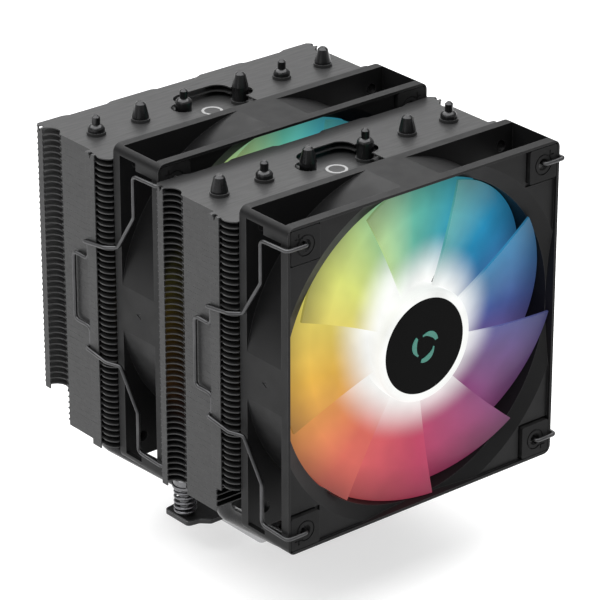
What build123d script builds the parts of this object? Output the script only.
"""Dual-tower processor cooler: six heat pipes, two fin towers, two 120 mm lit fans.

Frame: the origin is the centre of the contact face that presses on the processor.
+Z points up along the towers, +X is the width, air flows along +Y.
"""
from build123d import *
from math import radians, sin, tan
import os

os.makedirs("parts", exist_ok=True)

# ---------------------------------------------------------------- driving dimensions, mm
fan_size = 120.0             # standard square fan
fan_depth = 25.0
fan_hole_spacing = 105.0     # standard for a 120 mm fan
fan_hole_r = 2.15
fan_bottom = 35.5            # height of the fans' lower edge over the contact face
fan_tower_gap = 0.5

fin_half_width = 63.2        # at the outermost folded strip
tower_depth = 42.5
fin_count = 50
fin_pitch = 2.25
fin_thickness = 0.4
tower_top = 149.8            # upper face of the top fin
trimmed_fins = 5             # lowest fins, cut back on the cooler's outer side

pipe_r = 3.0
pipe_wall = 0.8              # copper wall and sintered wick
pipe_x = (12.7, 31.8, 51.0)  # pipe lines in the towers, each side of the middle
pipe_rise = 7.2              # pipe tips above the top fin
base_pipe_pitch = 6.5
pipe_bend_r = 10.0

base_width = 42.0
base_length = 36.0
base_height = 10.6
pipe_mill = 0.3              # machined off the pipes, flush with the contact face

bar_thickness = 1.9
bar_half_length = 45.2
bar_half_width = 10.4
ear_half_width = 6.7
screw_x = 41.0

wire_r = 0.7                 # fan clip wire
hub_r = 20.5                 # impeller hub
blade_count = 9
shaft_r = 1.5

# fits and clearances
seat_gap = 0.02              # pressed, glued or soldered joints
fin_hole_gap = 0.04          # fin collar to pipe
tab_gap = 0.06               # folded tab to the fin below
shaft_gap = 0.03             # running fit in the sleeve bearing
blade_gap = 0.5              # blade tip to duct

# ---------------------------------------------------------------- places that follow
fan_mid_z = fan_bottom + fan_size / 2
mid_fan_front = -fan_depth / 2
front_tower_y = mid_fan_front - fan_tower_gap - tower_depth
rear_tower_y = fan_depth / 2 + fan_tower_gap
front_fan_front = front_tower_y - fan_tower_gap - fan_depth
tower_pipe_y = rear_tower_y + tower_depth / 2
top_fin_z = tower_top - fin_thickness
bottom_fin_z = top_fin_z - (fin_count - 1) * fin_pitch
tab_height = fin_pitch - fin_thickness - tab_gap


def save(part, label):
    """Label a finished piece and write its STEP file."""
    part.label = label
    export_step(part, f"parts/{label}.step")


# ================================================================= base block
pipe_axis_z = pipe_r - pipe_mill
pipe_rows = [base_pipe_pitch * (k - 2.5) for k in range(6)]
bar_screw_x = 13.0           # two screws hold the crossbar on the block
bar_screw_r = 1.5
bar_screw_length = 6.0

with BuildPart() as base_block:
    with BuildSketch():
        Rectangle(base_width, base_length)
    extrude(amount=base_height)
    fillet(base_block.edges().filter_by(Axis.Z), radius=1.5)
    chamfer(base_block.faces().sort_by(Axis.Z)[-1].edges(), length=0.6)
    with BuildSketch(Plane.XZ.offset(-base_length / 2 - 1)):
        with Locations(*[(x, pipe_axis_z) for x in pipe_rows]):
            Circle(pipe_r + seat_gap)
    extrude(amount=base_length + 2, mode=Mode.SUBTRACT)
    with Locations(Plane.XY.offset(base_height)):
        with GridLocations(2 * bar_screw_x, 1, 2, 1):
            Hole(radius=bar_screw_r + seat_gap, depth=bar_screw_length - bar_thickness + 0.4)
save(base_block.part, "base_block")

# ================================================================= heat pipes
neck_r = 1.45                # pinched end of a pipe
neck_rise = 3.7              # height over the top fin where the neck starts
shoulder_rise = 1.8          # full-width pipe left above the top fin
cone_r = 1.9                 # the other end is rolled down to a cone
tip_chamfer = 0.8
knee_z = 31.0                # pipes start to splay below this height
base_exit_y = (34.6, 31.3, 27.0)  # where each pipe turns up, inner to outer
pipe_end_z = tower_top + shoulder_rise
pipe_tip_z = tower_top + pipe_rise


def pipe_tip(x, y, pinned):
    """Closed end of a pipe: a pinched neck, or a rolled cone."""
    with BuildPart() as tip:
        with BuildSketch(Plane(origin=(x, y, 0), x_dir=(1, 0, 0), z_dir=(0, -1, 0))):
            with BuildLine():
                if pinned:
                    ThreePointArc((pipe_r, pipe_end_z),
                                  (neck_r + 0.82 * (pipe_r - neck_r), pipe_end_z + 1.05),
                                  (neck_r, tower_top + neck_rise))
                    Polyline((neck_r, tower_top + neck_rise), (neck_r, pipe_tip_z - tip_chamfer),
                             (neck_r - tip_chamfer, pipe_tip_z), (0, pipe_tip_z))
                else:
                    Polyline((pipe_r, pipe_end_z), (cone_r, pipe_tip_z - tip_chamfer),
                             (cone_r - tip_chamfer, pipe_tip_z), (0, pipe_tip_z))
                Polyline((0, pipe_tip_z), (0, pipe_end_z), (pipe_r, pipe_end_z))
            make_face()
        revolve(axis=Axis((x, y, 0), (0, 0, 1)))
    return tip.part


def heat_pipe(lane, side, front_pinned):
    """One U-shaped pipe: up one tower, flat through the base, up the other."""
    x_top = side * pipe_x[lane]
    x_base = side * (lane + 0.5) * base_pipe_pitch
    exit_y = base_exit_y[lane]
    with BuildPart() as pipe:
        with BuildLine() as route:
            FilletPolyline((x_top, -tower_pipe_y, pipe_end_z), (x_top, -tower_pipe_y, knee_z),
                           (x_base, -exit_y, pipe_axis_z), (x_base, exit_y, pipe_axis_z),
                           (x_top, tower_pipe_y, knee_z), (x_top, tower_pipe_y, pipe_end_z),
                           radius=pipe_bend_r)
        start = Plane(origin=(x_top, -tower_pipe_y, pipe_end_z), z_dir=(0, 0, -1))
        for radius, mode in ((pipe_r, Mode.ADD), (pipe_r - pipe_wall, Mode.SUBTRACT)):
            with BuildSketch(start):
                Circle(radius)
            sweep(path=route.wires()[0], mode=mode)
        add(pipe_tip(x_top, -tower_pipe_y, front_pinned))
        add(pipe_tip(x_top, tower_pipe_y, not front_pinned))
        with Locations((x_base, 0, 0)):
            Box(3 * pipe_r, 2 * exit_y, 2 * pipe_r,
                align=(Align.CENTER, Align.CENTER, Align.MAX), mode=Mode.SUBTRACT)
    return pipe.part


lanes = [(2, -1), (1, -1), (0, -1), (0, 1), (1, 1), (2, 1)]
for number, (lane, side) in enumerate(lanes, start=1):
    save(heat_pipe(lane, side, number % 2 == 0), f"heat_pipe_{number}")

# ================================================================= fins
recess_x = fin_half_width - 2.4      # side wall between the two folded strips
groove_x = fin_half_width - 4.6      # bottom of the half-round groove
strip_a_x = fin_half_width - 1.0     # rear strip
strip_b = (6.5, 11.3)                # front strip, distances back from the tower's front
groove = (29.7, 37.5)
rear_step = 1.0                      # shallow teeth along the rear edge
tooth_edges = (11.0, 29.0, 31.5, 47.5, 50.0)
collar_r = pipe_r + fin_hole_gap + 0.35
collar_height = 1.2
window_half_width = 11.8             # opening in the upper fins between the middle pipes
window_depth = 32.0
window_fins = 2
window_pipe_gap = 1.6


def fin_outline(front, rear):
    """Sketch of one fin between two distances back from the tower's front edge."""
    depth = tower_depth
    with BuildSketch() as outline:
        with BuildLine():
            Line((0, 0), (fin_half_width - 2.8, 0))
            ThreePointArc((fin_half_width - 2.8, 0), (fin_half_width - 0.5, 3.0),
                          (fin_half_width - 0.9, strip_b[0] - 0.2))
            Polyline((fin_half_width - 0.9, strip_b[0] - 0.2), (fin_half_width, strip_b[0]),
                     (fin_half_width, strip_b[1]), (recess_x, strip_b[1] + 0.3),
                     (recess_x, groove[0] - 0.6), (strip_a_x - 1.6, groove[0]))
            ThreePointArc((strip_a_x - 1.6, groove[0]), (groove_x, sum(groove) / 2),
                          (strip_a_x, groove[1]))
            Polyline((strip_a_x, groove[1]), (strip_a_x, depth - 1.4), (strip_a_x - 1.4, depth),
                     (tooth_edges[4], depth), (tooth_edges[3], depth - rear_step),
                     (tooth_edges[2], depth - rear_step), (tooth_edges[1], depth),
                     (tooth_edges[0], depth), (tooth_edges[0] - 2, depth - rear_step),
                     (0, depth - rear_step))
            Line((0, depth - rear_step), (0, 0))
        make_face()
        mirror(about=Plane.YZ)
        with Locations((0, (front + rear) / 2)):
            Rectangle(3 * fin_half_width, rear - front, mode=Mode.INTERSECT)
        with Locations(*[(side * x, depth / 2) for x in pipe_x for side in (-1, 1)]):
            Circle(pipe_r + fin_hole_gap, mode=Mode.SUBTRACT)
    return outline.sketch


def fin(front=0.0, rear=tower_depth, windowed=False, notched=False):
    """One fin: pierced plate, pipe collars and the tabs folded down along its edges."""
    tabs = [(fin_half_width, *strip_b), (recess_x, strip_b[1] + 1.0, groove[0] - 1.2),
            (strip_a_x, groove[1] + 0.4, tower_depth - 1.8)]
    with BuildPart() as plate:
        add(extrude(fin_outline(front, rear), amount=fin_thickness))
        if windowed:
            with BuildSketch():
                with Locations((0, window_depth / 2 - 5)):
                    RectangleRounded(2 * window_half_width, window_depth + 10, 5)
                with Locations((-pipe_x[0], tower_depth / 2), (pipe_x[0], tower_depth / 2)):
                    Circle(pipe_r + window_pipe_gap)
            extrude(amount=fin_thickness, mode=Mode.SUBTRACT)
        with BuildSketch(Plane.XY.offset(fin_thickness / 2)):
            for x in pipe_x[1:] if windowed else pipe_x:
                with Locations((-x, tower_depth / 2), (x, tower_depth / 2)):
                    Circle(collar_r)
                    Circle(pipe_r + fin_hole_gap, mode=Mode.SUBTRACT)
        extrude(amount=fin_thickness / 2 + collar_height)
        with BuildSketch(Plane.XY.offset(fin_thickness / 2)):
            for x, start, end in tabs:
                if start > front and end < rear:
                    for side in (-1, 1):
                        with Locations((side * (x - fin_thickness / 2), (start + end) / 2)):
                            Rectangle(fin_thickness, end - start)
            if rear == tower_depth:
                for side in (-1, 1):
                    middle = (tooth_edges[0] + tooth_edges[1]) / 2
                    with Locations((side * middle, tower_depth - fin_thickness / 2)):
                        Rectangle(tooth_edges[1] - tooth_edges[0] - 4, fin_thickness)
        extrude(amount=-fin_thickness / 2 - tab_height)
        if notched:
            for x, y in ((fin_half_width, sum(strip_b) / 2), (strip_a_x, tower_depth - 3.2)):
                for side in (-1, 1):
                    with BuildSketch(Plane.YZ.offset(side * x)):
                        Polygon((y - 1.0, fin_thickness), (y + 1.0, fin_thickness),
                                (y, -1.6), align=None)
                    extrude(amount=1.3, both=True, mode=Mode.SUBTRACT)
    return plate.part


def stack(*groups):
    """Fins at their heights, from (fin, lowest index, highest index) groups."""
    with BuildPart() as pile:
        for piece, first, last in groups:
            with Locations(*[(0, 0, bottom_fin_z + k * fin_pitch) for k in range(first, last + 1)]):
                add(piece)
    return pile.part


front_cut = strip_b[1] + 0.2           # front tower: the lowest fins start behind this line
rear_cut = groove[0] - 0.3             # rear tower: they end before this one
plain_fin = fin()
window_fin = fin(windowed=True)
top_fin = fin(windowed=True, notched=True)
top = fin_count - 1
for tower, y, low_fin in (("front", front_tower_y, fin(front=front_cut)),
                          ("rear", rear_tower_y, fin(rear=rear_cut))):
    lower = stack((low_fin, 0, trimmed_fins - 1), (plain_fin, trimmed_fins, top - window_fins))
    upper = stack((window_fin, top - window_fins + 1, top - 1), (top_fin, top, top))
    for label, pile in (("fin_stack", lower), ("top_fins", upper)):
        with BuildPart() as placed:
            with Locations((0, y, 0)):
                add(pile)
        save(placed.part, f"{tower}_{label}")

# ================================================================= crossbar and its screws
bar_z = base_height
bar_top = bar_z + bar_thickness
ear_taper = (37.5, 40.5)               # the bar narrows to the ears between these
screw_hole_r = 2.3
collar_outer_r = 2.9                   # raised ring that centres the spring
collar_rise = 1.0

with BuildPart() as crossbar:
    with BuildSketch(Plane.XY.offset(bar_z)):
        with BuildLine():
            Polyline((0, -bar_half_width), (ear_taper[0], -bar_half_width),
                     (ear_taper[1], -ear_half_width - 0.8), (bar_half_length, -ear_half_width),
                     (bar_half_length, 0), (0, 0), (0, -bar_half_width))
        make_face()
        mirror(about=Plane.XZ)
        mirror(about=Plane.YZ)
    extrude(amount=bar_thickness)
    fillet(crossbar.edges().filter_by(Axis.Z), radius=1.6)
    chamfer(crossbar.faces().sort_by(Axis.Z)[-1].outer_wire().edges(), length=0.3)
    with BuildSketch(Plane.XY.offset(bar_top)):
        with GridLocations(2 * screw_x, 1, 2, 1):
            Circle(collar_outer_r)
    extrude(amount=collar_rise)
    with BuildSketch(Plane.XY.offset(bar_z)):
        with GridLocations(2 * screw_x, 1, 2, 1):
            Circle(screw_hole_r)
        with GridLocations(2 * bar_screw_x, 1, 2, 1):
            Circle(bar_screw_r + seat_gap)
    extrude(amount=bar_thickness + collar_rise, mode=Mode.SUBTRACT)
save(crossbar.part, "crossbar")


def cross_recess(x, y, z, width, depth):
    """Cutter for a cross-shaped driver recess, its mouth at height z."""
    with BuildPart() as cutter:
        with BuildSketch(Plane(origin=(x, y, z))):
            Rectangle(width, width / 4)
            Rectangle(width / 4, width)
        extrude(amount=-depth, taper=8)
    return cutter.part


bar_head_r = 2.75
bar_head_height = 1.7

with BuildPart() as bar_screw:
    with BuildSketch(Plane.XY.offset(bar_top - bar_screw_length)):
        Circle(bar_screw_r)
    extrude(amount=bar_screw_length)
    with BuildSketch(Plane.XY.offset(bar_top)):
        Circle(bar_head_r)
    extrude(amount=bar_head_height)
    fillet(bar_screw.faces().sort_by(Axis.Z)[-1].edges(), radius=0.8)
    chamfer(bar_screw.faces().sort_by(Axis.Z)[0].edges(), length=0.4)
    add(cross_recess(0, 0, bar_top + bar_head_height, 2.8, 1.2), mode=Mode.SUBTRACT)

with BuildPart() as crossbar_screws:
    with GridLocations(2 * bar_screw_x, 1, 2, 1):
        add(bar_screw.part)
save(crossbar_screws.part, "crossbar_screws")

# ================================================================= spring screws
shank_r = 2.0
thread_r = 1.75
thread_length = 2.0
tip_z = 8.1                            # lower end of the screw with the spring relaxed
clip_thickness = 0.5
clip_r = 3.1                           # retaining clip under the ear
groove_r = 1.4                         # bottom of the clip's groove in the screw
clip_top = bar_z - 0.2
head_r = 4.25
head_height = 3.0
cup_thickness = 0.8
cup_r = 4.7
spring_wire_r = 0.55
spring_mid_r = 3.65
spring_pitch = 2.2
spring_height = 10.7
cup_z = bar_top + spring_height
head_z = cup_z + cup_thickness + 0.05


def spring_screw(x):
    """Captive screw with its head, shank, clip groove and threaded tip."""
    with BuildPart() as screw:
        with BuildSketch(Plane(origin=(x, 0, 0), x_dir=(1, 0, 0), z_dir=(0, -1, 0))):
            with BuildLine():
                Polyline((0, tip_z), (thread_r - 0.5, tip_z), (thread_r, tip_z + 0.5),
                         (thread_r, tip_z + thread_length - 0.6),
                         (groove_r, clip_top - clip_thickness - 0.1),
                         (groove_r, clip_top + 0.05), (shank_r, clip_top + 0.05),
                         (shank_r, head_z), (head_r, head_z),
                         (head_r, head_z + head_height - 0.8),
                         (head_r - 0.8, head_z + head_height), (0, head_z + head_height),
                         (0, tip_z))
            make_face()
        revolve(axis=Axis((x, 0, 0), (0, 0, 1)))
        add(cross_recess(x, 0, head_z + head_height, 5.2, 2.0), mode=Mode.SUBTRACT)
    return screw.part


def screw_spring(x):
    """Coil spring between the crossbar's ear and the spring cup."""
    with BuildPart() as spring:
        with BuildLine(Plane(origin=(x, 0, bar_top + spring_wire_r + 0.05))) as coil:
            Helix(pitch=spring_pitch, height=spring_height - 2 * spring_wire_r - 0.1,
                  radius=spring_mid_r)
        with BuildSketch(Plane(origin=coil.wires()[0] @ 0, z_dir=coil.wires()[0] % 0)):
            Circle(spring_wire_r)
        sweep(path=coil.wires()[0])
    return spring.part


def ring(x, bottom, thickness, outer, inner, slot=0.0):
    """Flat ring around a spring screw, with a slot to one side where it is a clip."""
    with BuildPart() as disc:
        with BuildSketch(Plane(origin=(x, 0, bottom))):
            Circle(outer)
            Circle(inner, mode=Mode.SUBTRACT)
            if slot:
                with Locations((outer / 2 + 0.5, 0)):
                    Rectangle(outer + 1, slot, mode=Mode.SUBTRACT)
        extrude(amount=thickness)
    return disc.part


for side, x in (("left", -screw_x), ("right", screw_x)):
    save(spring_screw(x), f"{side}_spring_screw")
    save(screw_spring(x), f"{side}_screw_spring")
    save(ring(x, cup_z, cup_thickness, cup_r, shank_r + 0.1), f"{side}_spring_cup")
    save(ring(x, clip_top - clip_thickness, clip_thickness, clip_r, groove_r + 0.05, 2.2),
         f"{side}_screw_clip")

# ================================================================= wire clips that hold the fans
clip_side_x = fan_size / 2 + wire_r + 0.5
clip_strip_x = fin_half_width + wire_r + 0.05
clip_hook_x = recess_x + wire_r + 0.4
clip_front_y = -wire_r - 0.4
tower_start = fan_depth + fan_tower_gap
clip_hook_y = tower_start + strip_b[1] + 0.3 + wire_r + 0.2


def fin_gap_near(z):
    """Height of the middle of the gap between two fins that is nearest to z."""
    first_gap = bottom_fin_z + (fin_pitch + fin_thickness) / 2
    return first_gap + round((z - first_gap) / fin_pitch) * fin_pitch


def half_clip(side, fan_front, up):
    """Corner points of the upper or the lower half of a fan clip, from its end in the hole."""
    hole_x = fan_hole_spacing / 2
    hole_z = up * (fin_gap_near(fan_mid_z + up * fan_hole_spacing / 2) - fan_mid_z)
    corners = [(hole_x, 4.0, hole_z), (hole_x, clip_front_y, hole_z),
               (clip_side_x, clip_front_y, hole_z), (clip_side_x, fan_depth / 2, hole_z - 0.5),
               (clip_side_x, fan_depth / 2, 37.0), (clip_side_x, fan_depth - 3.0, 22.7),
               (clip_strip_x, tower_start + 1.2, 22.0), (clip_strip_x, clip_hook_y, 20.5),
               (clip_hook_x, clip_hook_y, 20.0), (clip_hook_x, clip_hook_y, 13.0),
               (clip_hook_x, clip_hook_y + 9.0, 13.0)]
    return [(side * x, fan_front + y, fan_mid_z + up * z) for x, y, z in corners]


def fan_clip(side, fan_front):
    """Bent wire from the two fan holes of one side, hooked behind the folded strip."""
    points = half_clip(side, fan_front, 1) + half_clip(side, fan_front, -1)[::-1]
    bends = [1.2, 1.4, 2.0, 2.0, 2.0, 2.0, 0.95, 0.95, 2.0, 2.0]
    with BuildPart() as wire:
        with BuildLine() as route:
            FilletPolyline(*points, radius=bends + bends[::-1])
        with BuildSketch(Plane(origin=points[0], z_dir=(0, -1, 0))):
            Circle(wire_r)
        sweep(path=route.wires()[0])
    return wire.part


for fan, fan_front in (("front", front_fan_front), ("middle", mid_fan_front)):
    for name, side in (("left", -1), ("right", 1)):
        save(fan_clip(side, fan_front), f"{fan}_fan_clip_{name}")

# ================================================================= fan pieces
# Each is made in the fan's own frame: outlet face at z = 0, intake at +Z, +Y up.
half_fan = fan_size / 2
flange_thickness = 3.5
frame_corner_r = 3.0
rim_width = 1.0                        # narrow rim around the sunken intake face
face_recess = 1.2
throat_r = half_fan - rim_width
duct_wall = 1.6
flare_width = 5.2
flare_depth = 2.6
face_z = fan_depth - face_recess
pad_size = 12.3                        # soft corner pads, glued in square pockets
pad_thickness = 2.0
pad_moat = 1.0
pad_rim_gap = 0.3
pad_mid = half_fan - rim_width - pad_rim_gap - pad_size / 2
pocket_size = pad_size + pad_moat + pad_rim_gap
pocket_mid = half_fan - rim_width - pocket_size / 2
side_wall = 2.0
closed_wall = 16.0                     # the upper right pocket is closed to the side
holder_r = 21.0                        # motor holder in the middle of the outlet side
holder_floor = 2.0
holder_rim = 1.4
strut_width = 4.2
strut_depth = 3.0
strut_turn = 24.0
bearing_r = 3.4
bearing_z = 3.0
bearing_length = 13.0
tube_r = 4.6
tube_top = 17.0
core_z = 6.0                           # the stator core rests on the tube's foot
label_r = 16.0
label_thickness = 0.15
mark_depth = 0.3                       # air-flow chevrons and the pads' corner marks
chevron = 1.3

with BuildPart() as flare:
    with BuildSketch(Plane.XY.offset(face_z - flare_depth)):
        Circle(throat_r)
    with BuildSketch(Plane.XY.offset(face_z)):
        Circle(throat_r + flare_width)
    loft()
    with BuildSketch():
        Rectangle(2 * throat_r, 2 * throat_r)
    extrude(amount=fan_depth, mode=Mode.INTERSECT)

with BuildPart() as frame:
    with BuildSketch(Plane.XY, Plane.XY.offset(fan_depth - flange_thickness)):
        Rectangle(fan_size, fan_size)
    extrude(amount=flange_thickness)
    with BuildSketch():
        Circle(throat_r + duct_wall)
        Rectangle(fan_size, fan_size, mode=Mode.INTERSECT)
    extrude(amount=fan_depth)
    for bottom, height in ((0, 3.1), (fan_depth / 2, 6.0)):
        with BuildSketch(Plane.XY.offset(bottom)):
            with GridLocations(fan_size - side_wall, fan_size - height, 2, 2):
                Rectangle(side_wall, height)
        extrude(amount=fan_depth / 2)
    with BuildSketch():
        with Locations(((fan_size - side_wall) / 2, (fan_size - closed_wall) / 2)):
            Rectangle(side_wall, closed_wall)
    extrude(amount=fan_depth)
    with BuildSketch():
        RectangleRounded(fan_size, fan_size, frame_corner_r)
    extrude(amount=fan_depth, mode=Mode.INTERSECT)
    with BuildSketch():
        Circle(throat_r)
    extrude(amount=fan_depth, mode=Mode.SUBTRACT)
    add(flare.part, mode=Mode.SUBTRACT)
    with BuildSketch(Plane.XY.offset(face_z)):
        Rectangle(2 * throat_r, 2 * throat_r)
        with GridLocations(2 * pocket_mid, 2 * pocket_mid, 2, 2):
            Rectangle(pocket_size, pocket_size, mode=Mode.SUBTRACT)
    extrude(amount=face_recess, mode=Mode.SUBTRACT)
    with BuildSketch(Plane.XY, Plane.XY.offset(fan_depth - pad_thickness)):
        with GridLocations(2 * pocket_mid, 2 * pocket_mid, 2, 2):
            Rectangle(pocket_size, pocket_size)
    extrude(amount=pad_thickness, mode=Mode.SUBTRACT)
    with BuildSketch():
        with GridLocations(fan_hole_spacing, fan_hole_spacing, 2, 2):
            Circle(fan_hole_r)
    extrude(amount=fan_depth, mode=Mode.SUBTRACT)
    with BuildSketch():
        with PolarLocations((holder_r + throat_r) / 2, 4, start_angle=45):
            Rectangle(throat_r - holder_r + 12, strut_width, rotation=strut_turn)
        Circle(throat_r + duct_wall / 2, mode=Mode.INTERSECT)
        Circle(holder_r - 2, mode=Mode.SUBTRACT)
    extrude(amount=strut_depth)
    with BuildSketch():
        Circle(holder_r)
    extrude(amount=holder_floor)
    with BuildSketch(Plane.XY.offset(holder_floor)):
        Circle(holder_r)
        Circle(holder_r - holder_rim, mode=Mode.SUBTRACT)
    extrude(amount=holder_rim)
    for radius, end in ((tube_r + 1.0, core_z), (tube_r, tube_top)):
        with BuildSketch(Plane.XY.offset(holder_floor)):
            Circle(radius)
        extrude(amount=end - holder_floor)
    with BuildSketch(Plane.XY.offset(bearing_z)):
        Circle(bearing_r + seat_gap)
    extrude(amount=tube_top - bearing_z, mode=Mode.SUBTRACT)
    with BuildSketch(Plane.XY.offset(holder_floor)):
        Circle(bearing_r - 0.4)
    extrude(amount=bearing_z - holder_floor, mode=Mode.SUBTRACT)
    with BuildSketch():
        Circle(label_r + 0.2)
        with Locations((half_fan, 0)):
            Rectangle(4.0, 5.0)
    extrude(amount=2 * label_thickness, mode=Mode.SUBTRACT)
    for side in (-1, 1):
        with BuildSketch(Plane.YZ.offset(side * half_fan)):
            for tip_y, tip_z, turn in ((0, 12.5, 0), (-24, 12.5, 90)):
                with Locations(Location((tip_y, tip_z, 0), turn)):
                    Polygon((0, -chevron), (chevron, chevron), (chevron - 0.7, chevron),
                            (0, -chevron + 1.3), (0.7 - chevron, chevron), (-chevron, chevron),
                            align=None)
        extrude(amount=-side * mark_depth, mode=Mode.SUBTRACT)

with BuildPart() as pads:
    for bottom in (0, fan_depth - pad_thickness):
        with BuildSketch(Plane.XY.offset(bottom)):
            with GridLocations(2 * pad_mid, 2 * pad_mid, 2, 2):
                RectangleRounded(pad_size, pad_size, 0.8)
            with GridLocations(fan_hole_spacing, fan_hole_spacing, 2, 2):
                Circle(fan_hole_r, mode=Mode.SUBTRACT)
        extrude(amount=pad_thickness)
    for face, sink in ((0, 0.35), (fan_depth, -0.35)):
        with BuildSketch(Plane.XY.offset(face)):
            with GridLocations(fan_hole_spacing, fan_hole_spacing, 2, 2):
                Circle(fan_hole_r + 1.7)
                Circle(fan_hole_r + 1.2, mode=Mode.SUBTRACT)
            with PolarLocations(pad_mid * 2 ** 0.5, 4, start_angle=45):
                with Locations((4.1, 0)):
                    Rectangle(3.4, 0.5, rotation=-45)
                    Rectangle(3.4, 0.5, rotation=45)
        extrude(amount=sink, mode=Mode.SUBTRACT)

# ----------------------------------------------------------------- rotor
blade_tip_r = throat_r - blade_gap
blade_half_angle = 32.0                # neighbouring blades overlap, seen from the front
hub_z = 4.6
hub_top = 24.6
hub_wall = 1.75
hub_roof = 1.3
cap_r = 17.4
cap_thickness = 0.9
boss_r = 3.5
boss_z = tube_top + 0.6
yoke_wall = 0.7
yoke_r = hub_r - hub_wall - seat_gap
magnet_r = yoke_r - yoke_wall
magnet_wall = 1.65
shaft_z = holder_floor + 0.2
shaft_top = hub_top - hub_roof - 0.3
clip_groove_r = 1.15
clip_groove_z = shaft_z + 0.15
roof_z = hub_top - hub_roof
# radius, forward lean, leading edge, trailing edge, camber, thickness
blade_sections = ((15.0, 0.0, 21.5, 12.5, 0.5, 1.8), (34.0, 1.5, 23.0, 9.7, 0.8, 1.4),
                  (62.0, 8.0, 24.2, 7.5, 1.2, 1.1))

with BuildPart() as blade:
    for radius, lean, lead, trail, camber, thick in blade_sections:
        half_chord = radius * tan(radians(blade_half_angle))
        middle = (lead + trail) / 2 + camber
        front_edge = lean + half_chord
        back_edge = lean - half_chord
        with BuildSketch(Plane.YZ.offset(radius)):
            with BuildLine():
                ThreePointArc((back_edge, trail), (lean, middle), (front_edge, lead))
                Line((front_edge, lead), (front_edge, lead - 0.7 * thick))
                ThreePointArc((front_edge, lead - 0.7 * thick), (lean, middle - thick),
                              (back_edge, trail - 0.7 * thick))
                Line((back_edge, trail - 0.7 * thick), (back_edge, trail))
            make_face()
    loft()
    with BuildSketch():
        Circle(blade_tip_r)
        Circle(hub_r - hub_wall / 2, mode=Mode.SUBTRACT)
    extrude(amount=fan_depth, mode=Mode.INTERSECT)

with BuildPart() as impeller:
    with BuildSketch(Plane.XY.offset(hub_z)):
        Circle(hub_r)
    extrude(amount=hub_top - hub_z)
    fillet(impeller.faces().sort_by(Axis.Z)[-1].edges(), radius=0.8)
    with BuildSketch(Plane.XY.offset(hub_z)):
        Circle(hub_r - hub_wall)
    extrude(amount=roof_z - hub_z, mode=Mode.SUBTRACT)
    with BuildSketch(Plane.XY.offset(hub_top)):
        Circle(cap_r + seat_gap)
    extrude(amount=-cap_thickness + 0.2, mode=Mode.SUBTRACT)
    with BuildSketch(Plane.XY.offset(boss_z)):
        Circle(boss_r)
    extrude(amount=roof_z - boss_z)
    with BuildSketch(Plane.XY.offset(boss_z)):
        Circle(shaft_r + seat_gap)
    extrude(amount=shaft_top - boss_z, mode=Mode.SUBTRACT)
    with PolarLocations(0, blade_count):
        add(blade.part)

with BuildPart() as hub_cap:
    with BuildSketch(Plane.XY.offset(hub_top - cap_thickness + 0.2)):
        Circle(cap_r)
    extrude(amount=cap_thickness)
    chamfer(hub_cap.faces().sort_by(Axis.Z)[-1].edges(), length=0.2)

with BuildPart() as yoke:
    with BuildSketch(Plane.XY.offset(hub_z + 0.2)):
        Circle(yoke_r)
    extrude(amount=roof_z - hub_z - 0.2)
    with BuildSketch(Plane.XY.offset(hub_z + 0.2)):
        Circle(yoke_r - yoke_wall)
    extrude(amount=roof_z - yoke_wall - hub_z - 0.2, mode=Mode.SUBTRACT)
    with BuildSketch(Plane.XY.offset(hub_z)):
        Circle(boss_r + 0.2)
    extrude(amount=hub_top - hub_z, mode=Mode.SUBTRACT)


def tube(bottom, height, outer, inner):
    """Plain ring about the fan's axis."""
    with BuildPart() as sleeve:
        with BuildSketch(Plane.XY.offset(bottom)):
            Circle(outer)
            Circle(inner, mode=Mode.SUBTRACT)
        extrude(amount=height)
    return sleeve.part


magnet = tube(hub_z + 0.5, 10.0, magnet_r - seat_gap, magnet_r - magnet_wall)
bearing = tube(bearing_z, bearing_length, bearing_r, shaft_r + shaft_gap)

with BuildPart() as shaft:
    with BuildSketch(Plane.XY.offset(shaft_z)):
        Circle(shaft_r)
    extrude(amount=shaft_top - shaft_z)
    chamfer(shaft.edges().filter_by(GeomType.CIRCLE), length=0.15)
    with BuildSketch(Plane.XY.offset(clip_groove_z)):
        Circle(shaft_r)
        Circle(clip_groove_r, mode=Mode.SUBTRACT)
    extrude(amount=0.4, mode=Mode.SUBTRACT)

with BuildPart() as shaft_clip:
    with BuildSketch(Plane.XY.offset(clip_groove_z + 0.05)):
        Circle(bearing_r - 0.9)
        Circle(clip_groove_r + 0.02, mode=Mode.SUBTRACT)
        with Locations((2, 0)):
            Rectangle(4, 1.8, mode=Mode.SUBTRACT)
    extrude(amount=0.3)

# ----------------------------------------------------------------- stator
core_height = 7.0
core_ring = 2.35
pole_width = 4.0
pole_tip = (13.8, 15.6)
pole_tip_angle = 68.0
coil_span = (7.6, 13.2)
coil_wall = 1.6
coil_gap = 0.1
board_r = 18.5
board_thickness = 1.2
led_count = 8
led_r = 16.8
led_size = 1.6

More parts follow.
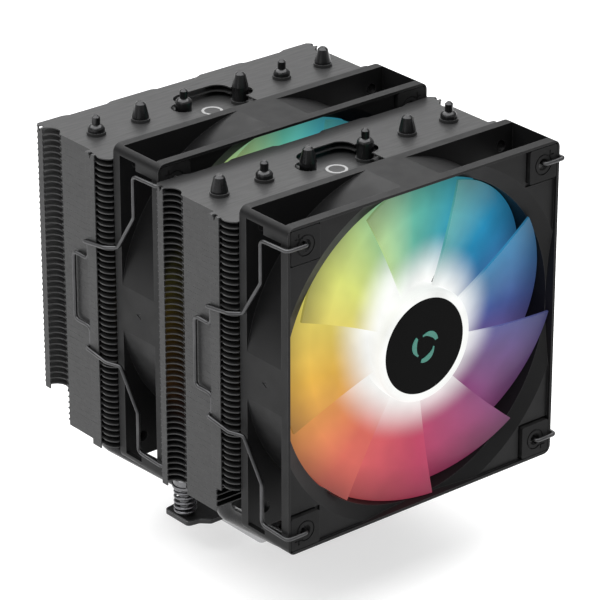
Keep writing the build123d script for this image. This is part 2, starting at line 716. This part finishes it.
with BuildPart() as core:
    with BuildSketch(Plane.XY.offset(core_z)):
        Circle(pole_tip[1])
        Circle(pole_tip[0], mode=Mode.SUBTRACT)
        with PolarLocations(pole_tip[1], 4, start_angle=45):
            Rectangle(14, 2 * pole_tip[0] * sin(radians(45 - pole_tip_angle / 2)),
                      mode=Mode.SUBTRACT)
        with PolarLocations(pole_tip[0] / 2 + 2, 4):
            Rectangle(pole_tip[0] - 3.5, pole_width)
        Circle(tube_r + core_ring)
        Circle(tube_r + 0.05, mode=Mode.SUBTRACT)
    extrude(amount=core_height)

with BuildPart() as coil:
    span = coil_span[1] - coil_span[0]
    with BuildSketch(Plane.YZ.offset(coil_span[0])):
        with Locations((0, core_z + core_height / 2)):
            RectangleRounded(pole_width + 2 * (coil_gap + coil_wall),
                             core_height + 2 * (coil_gap + coil_wall), coil_wall)
            Rectangle(pole_width + 2 * coil_gap, core_height + 2 * coil_gap, mode=Mode.SUBTRACT)
    extrude(amount=span)

with BuildPart() as coils:
    with PolarLocations(0, 4):
        add(coil.part)

board = tube(holder_floor, board_thickness, board_r, tube_r + 1.1)

with BuildPart() as leds:
    with BuildSketch(Plane.XY.offset(holder_floor + board_thickness)):
        with PolarLocations(led_r - led_size / 2, led_count):
            Rectangle(led_size, led_size)
    extrude(amount=0.8)

with BuildPart() as motor_label:
    with BuildSketch(Plane.XY.offset(label_thickness)):
        Circle(label_r)
    extrude(amount=label_thickness)

fan_pieces = {"fan_frame": frame.part, "corner_pads": pads.part, "impeller": impeller.part,
              "hub_cap": hub_cap.part, "rotor_yoke": yoke.part, "ring_magnet": magnet,
              "shaft": shaft.part, "shaft_clip": shaft_clip.part, "bearing": bearing,
              "stator_core": core.part, "coils": coils.part, "circuit_board": board,
              "leds": leds.part, "motor_label": motor_label.part}

for fan, fan_front in (("front", front_fan_front), ("middle", mid_fan_front)):
    outlet = Plane(origin=(0, fan_front + fan_depth, fan_mid_z), x_dir=(1, 0, 0),
                   z_dir=(0, -1, 0))
    for label, piece in fan_pieces.items():
        with BuildPart() as placed:
            with Locations(outlet):
                add(piece)
        save(placed.part, f"{fan}_{label}")
